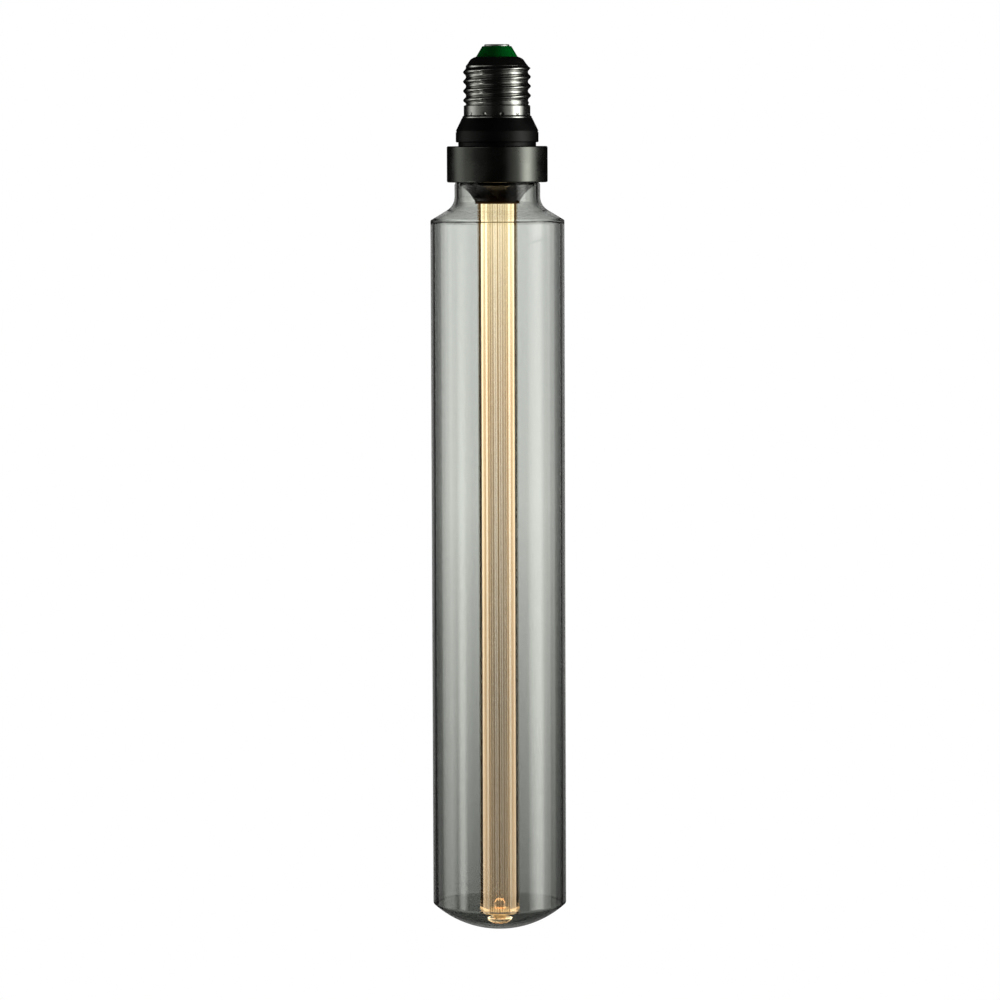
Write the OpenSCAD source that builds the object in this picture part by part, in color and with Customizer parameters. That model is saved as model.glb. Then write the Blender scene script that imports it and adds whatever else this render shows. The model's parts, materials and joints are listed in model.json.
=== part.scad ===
// Long tubular LED lamp with an Edison screw cap, drawn hanging with its cap up.
// A thick clear resin tube in the smoked envelope guides the light of the chips at its upper end.
// Sizes are millimetres. +Z points up, out of the cap. The origin is the middle of the contact's face.

/* [Centre contact] */
// Diameter of the contact disc
contact_d = 9.8; // [6:0.1:10.4]
// Height of the contact's face over the insulator
contact_proud = 0.7; // [0.5:0.05:1.2]
// Bevel round the contact's face
contact_bevel = 0.25; // [0.1:0.05:0.4]
// Depth of the seat that the disc lies in
contact_seat = 0.4; // [0.2:0.05:0.8]
// Diameter of the rivet's shank
shank_d = 2.4; // [1.6:0.1:3.2]
// Length of the shank below the insulator's foot
shank_tail = 0.6; // [0.4:0.1:1]

/* [Insulator] */
// Width of the cone's top round the contact
insulator_rim = 0.75; // [0.4:0.05:1.5]
// How far the cone spreads down to the shell
insulator_spread = 2.4; // [1.5:0.1:3]
// Height of the cone
insulator_cone_h = 4.05; // [3:0.05:6]
// Height of the foot inside the shell
insulator_foot_h = 2.4; // [1.8:0.1:3]

/* [Screw shell] */
// Diameter over the thread's crests
thread_d = 26.25; // [26:0.05:26.45]
// Depth of the thread, crest to root
thread_depth = 1.075; // [0.9:0.025:1.2]
// Pitch of the thread, seven turns to the inch
thread_pitch = 3.629; // [3.4:0.001:3.8]
// Length of the threaded stretch
thread_length = 15; // [12:0.1:18]
// Height of the round shoulder over the thread
shoulder_h = 3.5; // [2.8:0.1:4.5]
// Depth of the first crest below the thread's start, on the +X side
first_crest = 0.65; // [0.4:0.05:1.2]
// Thickness of the rolled sheet
shell_wall = 0.35; // [0.25:0.05:0.45]
// How far the plain skirt lies inside the crests
skirt_inset = 0.225; // [0:0.025:0.5]
// Height of the plain skirt
skirt_h = 4.15; // [3:0.05:6]
// How far the lip flares out from the skirt
lip_flare = 0.55; // [0.2:0.05:0.6]
// Height of the flared lip
lip_h = 0.95; // [0.6:0.05:1.4]

/* [Driver housing] */
// Gap between the spigot and the roots of the shell
spigot_gap = 0.25; // [0.2:0.05:0.4]
// Wall of the spigot
spigot_wall = 1.2; // [0.9:0.1:1.4]
// Diameter of the wire hole in the spigot's end wall
wire_hole_d = 8; // [6:0.1:12]
// How far the cone's small end stands out from the lip
cone_rim = 0.15; // [0.1:0.05:0.5]
// How far the barrel stands out from the neck
barrel_step = 0.95; // [0.6:0.05:3]
// Height of the cone
housing_cone_h = 5.05; // [3.5:0.05:8]
// Height of the barrel
barrel_h = 4.4; // [3:0.1:8]
// Width of the groove between cone and barrel
groove_w = 0.5; // [0.3:0.05:0.8]
// Depth of that groove
groove_depth = 0.25; // [0.15:0.05:0.4]
// Bevel at the barrel's lower edge
barrel_bevel = 0.3; // [0.2:0.05:0.6]
// Height of the neck that stays in sight
neck_gap = 1.45; // [0.8:0.05:3]
// Depth of the neck in the collar
neck_seat = 2.95; // [2:0.05:4]
// Wall of the neck
neck_wall = 1.2; // [1:0.1:1.5]

/* [Collar] */
// Wall of the collar round the glass rim
collar_wall = 2.35; // [1.8:0.05:5]
// Height of the collar
collar_h = 14; // [12.5:0.1:20]
// Rounding of the collar's edges
collar_round = 0.6; // [0.3:0.05:1]
// Thickness of the web across the collar
web_t = 2.2; // [1.6:0.1:3]
// Thickness of the elastic bond between glass and collar
bond_t = 1; // [0.6:0.05:1.5]
// Diameter of the hole in the web for the leads
web_hole_d = 6; // [4:0.1:8]

/* [Glass envelope] */
// Length of the whole lamp, contact face to dome tip
lamp_length = 345; // [250:1:450]
// Outer diameter of the tube
glass_d = 52; // [46:0.5:70]
// Thickness of the glass
glass_wall = 1.5; // [1:0.1:2]
// Gap between the glass rim and the holder inside it
holder_gap = 0.2; // [0.1:0.05:0.5]
// How far the neck stands out from the rim
rim_step = 0.4; // [0.1:0.05:0.8]
// Depth of the rim in the collar
glass_rim_depth = 7; // [5:0.1:8]
// Height of the step between rim and neck
glass_step_h = 0.9; // [0.5:0.05:1.4]
// Length of the straight neck below the collar
glass_neck_h = 5.5; // [4:0.05:10]
// Radius of the hollow between neck and shoulder
glass_fillet = 6.2; // [4:0.1:8]
// Fall of the shoulder below the level, in degrees
shoulder_fall = 31; // [20:1:40]
// Rounding of the shoulder's edge
shoulder_round = 1.2; // [0.8:0.1:3]
// Height of the dome
dome_h = 10.1; // [7:0.1:20]
// Rounding where tube and dome meet
dome_round = 1; // [0.5:0.1:2]

/* [Guide holder] */
// Wall of the holder outside the fixing screws
holder_wall = 1.65; // [1.2:0.05:2.5]
// Wall of the holder's lower end, round the guide
holder_tip_wall = 0.8; // [0.5:0.05:1.5]
// Height of the holder below the collar
holder_drop = 8.55; // [8:0.05:10]
// Height of the straight land at the lower end
holder_land = 1; // [0.6:0.1:1.6]
// Slopes of the flare's upper and lower ends, in degrees
flare_slopes = [27, 66];
// Width of the ledge that the guide's upper end meets
guide_ledge = 0.5; // [0.3:0.05:0.8]

/* [Light guide] */
// Outer diameter of the guide
guide_d = 15.6; // [15.2:0.1:16.4]
// Mean wall of the guide, out from its ribbed bore
guide_wall = 3.5; // [2.5:0.1:4.5]
// Height of the bore's ribs
rib_h = 0.1; // [0.06:0.02:0.3]
// Number of ribs round the bore
rib_count = 32; // [12:1:40]
// Gap between the guide's lower end and the dome's tip
guide_tip_gap = 6.8; // [5:0.1:12]
// Bevel round the guide's lower end
guide_bevel = 0.6; // [0.3:0.1:1]
// Height of the stopper's flange in the lower end of the bore
plug_flange_h = 1.2; // [0.8:0.1:2]
// Diameter of the domed peg above the flange
peg_d = 4.1; // [2:0.1:6]
// Height of the stopper above the guide's lower end, its dome included
plug_h = 5.2; // [4:0.1:8]
// Diameter of the stopper's cushion foot
cushion_d = 9.6; // [7:0.1:12]
// Height of the foot
cushion_h = 2.1; // [1.5:0.1:2.6]
// Diameter of the neck between foot and flange
cushion_neck_d = 5.2; // [3:0.1:6.4]
// Gap between the foot and the glass below it
cushion_gap = 0.2; // [0.1:0.05:0.5]

/* [Light source] */
// Thickness of the heat-conducting pad
pad_t = 0.5; // [0.3:0.05:0.8]
// Thickness of the chip board
chip_board_t = 1.6; // [1:0.1:1.8]
// How far pad and chip board reach out past the guide
chip_board_margin = 1.9; // [1:0.1:2.5]
// Diameter of the lead hole in the chip board
chip_board_hole_d = 4; // [3:0.1:4.4]
// Number of light chips
chip_count = 6; // [3:1:6]
// Width, length and height of a chip
chip_size = [2.4, 3.5, 0.7];
// Gap between the chips and the wall of their cavity
chip_inset = 0.5; // [0.2:0.05:1]
// Gap between the chips and the guide's upper end
chip_gap = 0.3; // [0.2:0.05:0.5]

/* [Driver] */
// Thickness of the driver board
driver_board_t = 1; // [0.8:0.1:1.6]
// Gap between the driver board's foot and the collar's web
driver_board_foot_gap = 4.2; // [3:0.1:6]
// Gap between the spigot's end wall and the board
board_gap = 1.2; // [0.8:0.1:2]
// Depth of the moulded rails that hold the board
rail_depth = 1.3; // [1:0.1:1.6]
// Width of each rail
rail_w = 1; // [0.8:0.1:1.4]
// Length of the rails
rail_l = 12; // [8:0.5:14]
// Length of the groove that leads the bare wire down the spigot
wire_groove_l = 7; // [4:0.1:10]
// Diameter and length of the reservoir capacitor
reservoir_size = [6.3, 11];
// Width, thickness and height of the input capacitor
input_capacitor_size = [7.4, 3.6, 6.5];
// Outer diameter and height of the choke
choke_size = [7, 6];
// Width, thickness and length of the rectifier
rectifier_size = [4.7, 2.4, 3.9];
// Width, thickness and length of the driver chip's body
driver_chip_size = [3.9, 1.4, 4.9];
// Diameter and length of the fusible resistor's body
resistor_size = [2.5, 6.5];
// Diameter of an insulated lead
lead_d = 1.1; // [0.8:0.05:1.2]
// Diameter of a bare wire
wire_d = 0.6; // [0.4:0.05:0.7]

/* [Fixing screws] */
// Number of screws between collar and holder
screw_count = 3; // [2:1:4]
// Shank diameter of a screw
screw_d = 2; // [1.6:0.1:2.4]
// Length of a screw below its head
screw_l = 6; // [5:0.5:6.5]
// Wall between the chip board's recess and the screws
screw_wall = 1.1; // [0.8:0.05:2]
// Diameter and height of a screw's head
screw_head = [3.8, 1.3];
// Width and depth of the slot in a screw's head
screw_slot = [0.5, 0.6];

/* [Hidden] */
// Clearance round a pressed or seated piece
seat_gap = 0.05;
// Clearance round a loosely fitted piece
loose_gap = 0.15;
// How far a cut runs past the face that it opens
overrun = 0.5;
// Angle steps of the screw shell, and its rows to a turn on the outer and the inner side
shell_columns = 48;
outer_rows_per_turn = 8;
inner_rows_per_turn = 4;
// How sharp the thread's crests are, with 1 for a plain cosine wave
crest_power = 1.3;
// Share of a turn over which the thread rises from the plain wall
thread_fade_share = 0.3;
// The shoulder's outline from the shell's opening to the thread, as shares of its width and height
shoulder_shares = [[0, 0], [0.19, 0.07], [0.41, 0.2], [0.56, 0.33], [0.72, 0.59], [0.86, 0.82]];
// Share of the skirt's height taken by the run from the last root to the plain wall
skirt_run_share = 0.12;
// Share of the lip's height that flares
lip_flare_share = 0.6;
// The last point of that outline that the insulator's foot follows, counted from 0
foot_share = 3;
// Outline of the stopper's foot from its flat bottom to its rim, as shares of its radius and height
cushion_shares = [[0, 0], [0.35, 0], [0.7, 0.12], [0.9, 0.45], [1, 0.85], [1, 1]];
// Smoothness of round pieces, and of small ones
round_fn = 96;
small_fn = 32;

// Radii of the cap, from the contact out to the flared lip
insulator_top_r = contact_d / 2 + insulator_rim;
insulator_r = insulator_top_r + insulator_spread;
crest_r = thread_d / 2;
root_r = crest_r - thread_depth;
skirt_r = crest_r - skirt_inset;
lip_r = skirt_r + lip_flare;
spigot_r = root_r - shell_wall - spigot_gap;
spigot_in_r = spigot_r - spigot_wall;

// Radii round the guide, from its bore out to the collar
guide_r = guide_d / 2;
guide_bore_r = guide_r - guide_wall;
chip_cavity_r = guide_r - guide_ledge;
chip_ring_r = chip_cavity_r - chip_inset - chip_size.x / 2;
chip_board_r = guide_r + chip_board_margin;
screw_circle_r = chip_board_r + seat_gap + screw_wall + screw_d / 2;
holder_r = screw_circle_r + screw_d / 2 + holder_wall;
glass_rim_r = holder_r + holder_gap + glass_wall;
glass_neck_r = glass_rim_r + rim_step;
collar_bore_r = glass_rim_r + bond_t;
collar_r = collar_bore_r + collar_wall;
cavity_r = screw_circle_r + screw_head[0] / 2 + loose_gap;
neck_r = cavity_r + neck_wall;
barrel_r = neck_r + barrel_step;

// Levels of the faces down the lamp
insulator_z = -contact_proud;
shell_top_z = insulator_z - insulator_cone_h;
thread_top_z = shell_top_z - shoulder_h;
foot_step = shoulder_point(foot_share) - [shell_wall / 2 + seat_gap, shell_wall + seat_gap];
thread_end_z = thread_top_z - thread_length;
lip_z = thread_end_z - skirt_h;
shell_end_z = lip_z - lip_h;
spigot_z = foot_step.y - insulator_foot_h;
cone_end_z = shell_end_z - housing_cone_h;
barrel_end_z = cone_end_z - barrel_h;
collar_top_z = barrel_end_z - neck_gap;
web_z = collar_top_z - neck_seat;
web_end_z = web_z - web_t;
collar_end_z = collar_top_z - collar_h;
glass_top_z = collar_end_z + glass_rim_depth;
pad_end_z = web_end_z - pad_t;
chip_board_end_z = pad_end_z - chip_board_t;
guide_top_z = chip_board_end_z - chip_size.z - chip_gap;
holder_end_z = collar_end_z - holder_drop;
fillet_z = collar_end_z - glass_neck_h;
guide_end_z = guide_tip_gap - lamp_length;
cushion_end_z = glass_wall + cushion_gap - lamp_length;
board_top_z = spigot_z - spigot_wall - board_gap;

// Width, thickness and length of the driver board
driver_board = [
    2 * spigot_in_r - rail_depth, driver_board_t, board_top_z - web_z - driver_board_foot_gap
];
board_end_z = board_top_z - driver_board.z;

// Radius of the dome's sphere and level of its centre
dome_r = (pow(glass_d / 2, 2) + dome_h * dome_h) / (2 * dome_h);
dome_z = dome_r - lamp_length;

// Points of an arc, from one angle to the other
function arc(centre, r, from, to, steps) =
    [for (i = [0 : steps]) let (a = from + (to - from) * i / steps) centre + r * [cos(a), sin(a)]];

// A point of the shell's round shoulder, counted from its opening
function shoulder_point(i) =
    let (s = shoulder_shares[i], opening_r = insulator_r + seat_gap)
    [opening_r + (root_r - opening_r) * s.x, shell_top_z - shoulder_h * s.y];

// A solid of revolution from an outline of radius and level
module turned(outline) {
    rotate_extrude($fn = round_fn) polygon(outline);
}

// A plain ring that hangs down from a level
module ring(r, bore_r, top, h) {
    translate([0, 0, top - h]) difference() {
        cylinder(r = r, h = h, $fn = round_fn);
        translate([0, 0, -overrun]) cylinder(r = bore_r, h = h + 2 * overrun, $fn = round_fn);
    }
}

// A box with its upper face at a level, centred in X, that starts at a distance from the board's plane
module box_below(size, x, y, top) {
    translate([x - size.x / 2, y, top - size.z]) cube(size);
}

// The rivet that meets the spring contact of the lamp holder
module centre_contact() {
    r = contact_d / 2;
    seat_z = insulator_z - contact_seat;
    color("gainsboro") turned([
        [0, 0], [r - contact_bevel, 0], [r, -contact_bevel], [r, seat_z], [shank_d / 2, seat_z],
        [shank_d / 2, spigot_z - shank_tail], [0, spigot_z - shank_tail]
    ]);
}

// The green cone, with the foot that the shell's shoulder holds down
module insulator() {
    seat_r = contact_d / 2 + seat_gap;
    seat_z = insulator_z - contact_seat;
    bore_r = shank_d / 2 + seat_gap;
    below_sheet = [shell_wall / 2 + seat_gap, shell_wall + 2 * seat_gap];
    color("darkgreen") turned(concat(
        [
            [bore_r, seat_z], [seat_r, seat_z], [seat_r, insulator_z], [insulator_top_r, insulator_z],
            [insulator_r, shell_top_z], [insulator_r, shell_top_z - below_sheet.y]
        ],
        [for (i = [1 : foot_share]) shoulder_point(i) - below_sheet],
        [[foot_step.x, spigot_z], [bore_r, spigot_z]]
    ));
}

// How far the thread stands out at a level and an angle: 0 at the root, 1 at the crest
function thread_wave(z, angle) =
    let (
        turn = (z - thread_top_z + first_crest) / thread_pitch - angle / 360,
        from_end = min(thread_top_z - z, z - thread_end_z) / thread_pitch
    )
    from_end <= 0 ? 0 : pow((1 + cos(360 * turn)) / 2, crest_power) * min(1, from_end / thread_fade_share);

// Levels of the thread's rows on one side of the sheet
function thread_levels(rows_per_turn) =
    let (rows = ceil(thread_length / thread_pitch * rows_per_turn))
    [for (i = [0 : rows]) thread_top_z - thread_length * i / rows];

// One column of the shell's outer side, from its opening to its lip
function shell_column(angle, rows_per_turn) =
    let (run_z = thread_end_z - skirt_h * skirt_run_share)
    concat(
        [for (i = [0 : len(shoulder_shares) - 1]) shoulder_point(i)],
        [for (z = thread_levels(rows_per_turn)) [root_r + thread_depth * thread_wave(z, angle), z]],
        [[skirt_r, run_z], [skirt_r, lip_z], [lip_r, lip_z - lip_h * lip_flare_share], [lip_r, shell_end_z]]
    );

// The same column inside the sheet: lower under the shoulder, and further in below it
function inner_column(angle) =
    [for (p = shell_column(angle, inner_rows_per_turn))
        p.y > thread_top_z ? [p.x - (p.x > insulator_r + shell_wall ? shell_wall / 2 : 0), p.y - shell_wall]
            : [p.x - shell_wall, p.y]];

// The rolled shell: one closed grid of columns, down the outer side and back up the inner one
module screw_shell() {
    columns = [for (i = [0 : shell_columns - 1])
        let (angle = 360 * i / shell_columns, inside = inner_column(angle))
        concat(shell_column(angle, outer_rows_per_turn), [for (j = [len(inside) - 1 : -1 : 0]) inside[j]])];
    rows = len(columns[0]);
    points = [for (i = [0 : shell_columns - 1]) for (p = columns[i])
        let (angle = 360 * i / shell_columns) [p.x * cos(angle), p.x * sin(angle), p.y]];
    faces = [for (i = [0 : shell_columns - 1]) for (j = [0 : rows - 1])
        let (a = i * rows, b = (i + 1) % shell_columns * rows, k = (j + 1) % rows)
        each [[a + j, b + j, b + k], [a + j, b + k, a + k]]];
    color("dimgray") polyhedron(points, faces, convexity = 10);
}

// The black housing: spigot with end wall, cone, barrel and the neck that the collar takes
module driver_housing() {
    groove_z = cone_end_z - groove_w;
    rail_top_z = board_top_z + board_gap;
    color("#151515") difference() {
        union() {
            turned([
                [wire_hole_d / 2, spigot_z], [spigot_r, spigot_z], [spigot_r, shell_end_z],
                [lip_r + cone_rim, shell_end_z], [barrel_r, cone_end_z],
                [barrel_r - groove_depth, cone_end_z], [barrel_r - groove_depth, groove_z], [barrel_r, groove_z],
                [barrel_r, barrel_end_z + barrel_bevel], [barrel_r - barrel_bevel, barrel_end_z],
                [neck_r, barrel_end_z], [neck_r, web_z],
                [cavity_r, web_z], [cavity_r, cone_end_z], [spigot_in_r, shell_end_z],
                [spigot_in_r, spigot_z - spigot_wall], [wire_hole_d / 2, spigot_z - spigot_wall]
            ]);
            for (side = [-1, 1]) for (face = [-1, 1]) board_rail(side, face, rail_top_z);
        }
        neutral_wire_cut();
    }
}

// One moulded rail inside the spigot, beside the driver board
module board_rail(side, face, top) {
    y = driver_board.y / 2 + seat_gap;
    intersection() {
        ring(spigot_in_r + spigot_wall / 2, spigot_in_r - rail_depth, top, rail_l);
        translate([side > 0 ? 0 : -spigot_r, face > 0 ? y : -y - rail_w, top - rail_l])
            cube([spigot_r, rail_w, rail_l]);
    }
}

// Notch and groove for the bare wire that is trapped between the spigot and the shell
module neutral_wire_cut() {
    w = wire_d + 2 * loose_gap;
    top = spigot_z - spigot_wall;
    translate([spigot_in_r - overrun, -w / 2, top - 2 * w]) cube([spigot_wall + 2 * overrun, w, 2 * w]);
    translate([spigot_r - w, -w / 2, top - wire_groove_l]) cube([w + overrun, w, wire_groove_l]);
}

// The anodised ring that joins housing, holder and glass, with its web and screw holes
module collar() {
    r = collar_r;
    c = collar_round;
    seat_r = neck_r + seat_gap;
    color("#2b2d2a") difference() {
        turned(concat(
            [[web_hole_d / 2, web_z], [seat_r, web_z], [seat_r, collar_top_z]],
            arc([r - c, collar_top_z - c], c, 90, 0, 5),
            arc([r - c, collar_end_z + c], c, 0, -90, 5),
            [[collar_bore_r, collar_end_z], [collar_bore_r, web_end_z], [web_hole_d / 2, web_end_z]]
        ));
        on_screws() translate([0, 0, web_end_z - overrun])
            cylinder(d = screw_d + 2 * loose_gap, h = web_t + 2 * overrun, $fn = small_fn);
    }
}

// Repeats a piece at each fixing screw
module on_screws() {
    for (i = [0 : screw_count - 1]) rotate(90 + 360 * i / screw_count)
        translate([screw_circle_r, 0, 0]) children();
}

// The elastic bond between the glass rim and the collar
module glass_bond() {
    color("whitesmoke")
        ring(collar_bore_r, glass_rim_r, glass_top_z, glass_rim_depth - collar_round);
}

// One skin of the envelope, from its rim to the dome's tip, at an inset from the outer skin
function envelope_skin(inset) =
    let (
        rim_r = glass_rim_r - inset,
        body_r = glass_d / 2 - inset,
        sphere_r = dome_r - inset,
        // both skins bend about the same centre in the hollow of the neck
        bend = [glass_neck_r + glass_fillet, fillet_z],
        bend_r = glass_fillet + inset,
        along = [cos(shoulder_fall), -sin(shoulder_fall)],
        inward = [-sin(shoulder_fall), -cos(shoulder_fall)],
        edge_r = max(shoulder_round - inset, seat_gap),
        // where the edge's arc is tangent to shoulder and tube
        edge_x = body_r - edge_r,
        leave = bend + bend_r * inward,
        run = (edge_x - leave.x - edge_r * inward.x) / along.x,
        edge = leave + run * along + edge_r * inward,
        foot_r = max(dome_round - inset / 2, seat_gap),
        foot_x = body_r - foot_r,
        foot_reach = sphere_r - foot_r,
        foot = [foot_x, dome_z - sqrt(foot_reach * foot_reach - foot_x * foot_x)],
        foot_angle = atan2(foot.y - dome_z, foot.x)
    )
    concat(
        [[rim_r, glass_top_z], [rim_r, collar_end_z], [glass_neck_r - inset, collar_end_z - glass_step_h]],
        arc(bend, bend_r, 180, 270 - shoulder_fall, 12),
        arc(edge, edge_r, 90 - shoulder_fall, 0, 5),
        arc(foot, foot_r, 0, foot_angle, 4),
        arc([0, dome_z], sphere_r, foot_angle, -90, 20)
    );

// The blown envelope: neck, sloped shoulder, long tube and shallow dome in one skin
module glass_envelope() {
    outer = envelope_skin(0);
    inner = envelope_skin(glass_wall);
    color([0.75, 0.77, 0.75, 0.4])
        turned(concat(outer, [for (i = [len(inner) - 1 : -1 : 0]) inner[i]]));
}

// The flared holder that carries the guide, screwed up against the collar's web
module guide_holder() {
    tip_r = guide_r + seat_gap + holder_tip_wall;
    // the flare is one arc that steepens from the first slope to the second
    flare_r = (holder_r - tip_r) / (sin(flare_slopes[1]) - sin(flare_slopes[0]));
    land_z = holder_end_z + holder_land;
    centre = [tip_r + flare_r * sin(flare_slopes[1]), land_z - flare_r * cos(flare_slopes[1])];
    bore_r = guide_r + seat_gap;
    recess_r = chip_board_r + seat_gap;
    color("#1c1d1a") difference() {
        turned(concat(
            [[recess_r, web_end_z], [holder_r, web_end_z]],
            arc(centre, flare_r, 90 + flare_slopes[0], 90 + flare_slopes[1], 14),
            [
                [tip_r, holder_end_z], [bore_r, holder_end_z], [bore_r, guide_top_z],
                [chip_cavity_r, guide_top_z], [chip_cavity_r, chip_board_end_z],
                [recess_r, chip_board_end_z]
            ]
        ));
        on_screws() translate([0, 0, web_end_z - screw_l])
            cylinder(d = screw_d, h = screw_l + overrun, $fn = small_fn);
    }
}

// Cross-section of the guide's bore: a circle whose radius swings once for each rib
module guide_bore() {
    steps = rib_count * 8;
    polygon([for (i = [0 : steps - 1])
        let (a = 360 * i / steps, r = guide_bore_r + rib_h / 2 * cos(rib_count * a)) r * [cos(a), sin(a)]]);
}

// The thick clear tube that carries the light down the lamp, ribbed inside
module light_guide() {
    color([1, 0.9, 0.65, 0.6]) difference() {
        turned([
            [0, guide_top_z], [guide_r, guide_top_z], [guide_r, guide_end_z + guide_bevel],
            [guide_r - guide_bevel, guide_end_z], [0, guide_end_z]
        ]);
        translate([0, 0, guide_end_z - overrun])
            linear_extrude(height = guide_top_z - guide_end_z + 2 * overrun) guide_bore();
    }
}

// The domed stopper that closes the guide's bore, with a cushion foot that keeps the guide off the glass
module guide_plug() {
    r = guide_bore_r - rib_h / 2 - seat_gap;
    peg_r = peg_d / 2;
    color([1, 0.85, 0.55, 0.8]) turned(concat(
        [for (share = cushion_shares) [cushion_d / 2 * share.x, cushion_end_z + cushion_h * share.y]],
        [
            [cushion_neck_d / 2, cushion_end_z + cushion_h], [cushion_neck_d / 2, guide_end_z],
            [r, guide_end_z], [r, guide_end_z + plug_flange_h], [peg_r, guide_end_z + plug_flange_h]
        ],
        arc([0, guide_end_z + plug_h - peg_r], peg_r, 0, 90, 8)
    ));
}

// The soft pad between the collar's web and the chip board
module thermal_pad() {
    color("lightgray") ring(chip_board_r, web_hole_d / 2, web_end_z, pad_t);
}

// The metal-cored board that carries the light chips
module chip_board() {
    color("white") ring(chip_board_r, chip_board_hole_d / 2, pad_end_z, chip_board_t);
}

// The ring of light chips that shine down into the guide
module light_chips() {
    color("khaki") for (i = [0 : chip_count - 1]) rotate(360 * i / chip_count)
        translate([chip_ring_r - chip_size.x / 2, -chip_size.y / 2, chip_board_end_z - chip_size.z])
            cube(chip_size);
}

// The slotted screws that pull the holder up against the collar's web
module fixing_screws() {
    color("silver") on_screws() difference() {
        union() {
            translate([0, 0, web_z]) cylinder(d = screw_head[0], h = screw_head[1], $fn = small_fn);
            translate([0, 0, web_z - screw_l]) cylinder(d = screw_d - seat_gap, h = screw_l, $fn = small_fn);
        }
        translate([-screw_head[0], -screw_slot[0] / 2, web_z + screw_head[1] - screw_slot[1]])
            cube([2 * screw_head[0], screw_slot[0], screw_slot[1] + overrun]);
    }
}

// The driver's printed board, upright between its rails
module driver_board() {
    color("darkolivegreen") box_below(driver_board, 0, -driver_board.y / 2, board_top_z);
}

// The upright electrolytic capacitor on the board's rear side, beside the spigot's wall
module reservoir_capacitor() {
    r = reservoir_size[0] / 2;
    y = driver_board.y / 2 + r + seat_gap;
    reach = spigot_in_r - r - rail_w / 2;
    x = sqrt(reach * reach - y * y);
    groove = r / 10;
    foot_z = board_end_z + rail_w * 3;
    color("midnightblue") translate([-x, y, foot_z]) rotate_extrude($fn = small_fn) polygon([
        [0, 0], [r - groove, 0], [r, groove], [r, groove * 3], [r - groove, groove * 4], [r, groove * 5],
        [r, reservoir_size[1] - groove], [r - groove, reservoir_size[1]], [0, reservoir_size[1]]
    ]);
}

// The boxed film capacitor across the supply, on the board's front side
module input_capacitor() {
    y = driver_board.y / 2 + input_capacitor_size.y;
    color("goldenrod") box_below(input_capacitor_size, 0, -y, board_top_z - rail_w * 2);
}

// Level of the middle of the choke
function choke_z() = board_end_z + choke_size[0] / 2 + rail_w * 2;

// Puts a piece on the board's front side, its own +Z standing out of the board
module on_front(z) {
    translate([0, -driver_board.y / 2, z]) rotate([90, 0, 0]) children();
}

// The choke's ferrite drum, two flanges on a core
module choke_core() {
    r = choke_size[0] / 2;
    h = choke_size[1];
    core_r = r / 2;
    flange = h / 6;
    color("#303030") on_front(choke_z()) rotate_extrude($fn = small_fn) polygon([
        [0, 0], [r, 0], [r, flange], [core_r, flange], [core_r, h - flange], [r, h - flange], [r, h], [0, h]
    ]);
}

// The copper wound round the drum
module choke_winding() {
    h = choke_size[1];
    flange = h / 6;
    inset = choke_size[0] / 14;
    color("chocolate") on_front(choke_z()) translate([0, 0, flange]) difference() {
        cylinder(d = choke_size[0] - inset, h = h - 2 * flange, $fn = small_fn);
        translate([0, 0, -overrun]) cylinder(d = choke_size[0] / 2 + 2 * seat_gap, h = h, $fn = small_fn);
    }
}

// The bridge rectifier on the rear side, beside the rail at the supply end
module rectifier() {
    x = driver_board.x / 2 - rail_depth / 2 - rail_w / 2 - rectifier_size.x / 2;
    color("#202020") box_below(rectifier_size, -x, driver_board.y / 2, board_top_z - rail_w * 2);
}

// The driver chip with its two rows of legs, beside the reservoir capacitor
module driver_chip() {
    s = driver_chip_size;
    leg = [s.x / 4, s.y / 2, s.z / 12];
    x = s.x;
    y = driver_board.y / 2;
    top = board_top_z - driver_board.z / 2 - s.z / 2;
    color("#1a1a1a") {
        box_below(s, x, y, top);
        for (side = [-1, 1]) for (i = [0 : 3])
            box_below([leg.x * 2, leg.y, leg.z], x + side * s.x / 2, y, top - s.z * (i + 0.4) / 4);
    }
}

// The fusible resistor, lying across the rear side at the supply end
module fusible_resistor() {
    d = resistor_size[0];
    l = resistor_size[1];
    x = d / 2 + rail_w;
    y = (driver_board.y + d) / 2;
    top = board_top_z - rail_w * 2;
    color("tan") {
        translate([x, y, top - l]) cylinder(d = d, h = l, $fn = small_fn);
        translate([x, y, top - l - rail_w]) cylinder(d = wire_d, h = l + 2 * rail_w, $fn = small_fn);
    }
}

// Unit vector along one stretch of a route
function heading(route, i) = let (v = route[i + 1] - route[i]) v / norm(v);

// Direction of a route at one of its points, halfway between the stretches that meet there
function tangent(route, i) =
    let (
        before = i > 0 ? heading(route, i - 1) : [0, 0, 0],
        after = i < len(route) - 1 ? heading(route, i) : [0, 0, 0],
        v = before + after
    )
    v / norm(v);

// A round wire swept along its route, as rings of points joined into one closed skin
module wire(route, d, sides = 8) {
    rings = len(route);
    points = [for (i = [0 : rings - 1])
        let (
            t = tangent(route, i),
            u = cross(t, abs(t.y) < 0.9 ? [0, 1, 0] : [1, 0, 0]),
            a = u / norm(u),
            b = cross(t, a)
        )
        for (k = [0 : sides - 1])
            route[i] + d / 2 * (cos(360 * k / sides) * a + sin(360 * k / sides) * b)];
    walls = [for (i = [0 : rings - 2]) for (k = [0 : sides - 1])
        let (n = (k + 1) % sides, a = i * sides, b = a + sides)
        each [[a + k, b + k, b + n], [a + k, b + n, a + n]]];
    polyhedron(points, concat(
        walls, [[for (k = [0 : sides - 1]) k]], [[for (k = [sides - 1 : -1 : 0]) (rings - 1) * sides + k]]
    ), convexity = 6);
}

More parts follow.
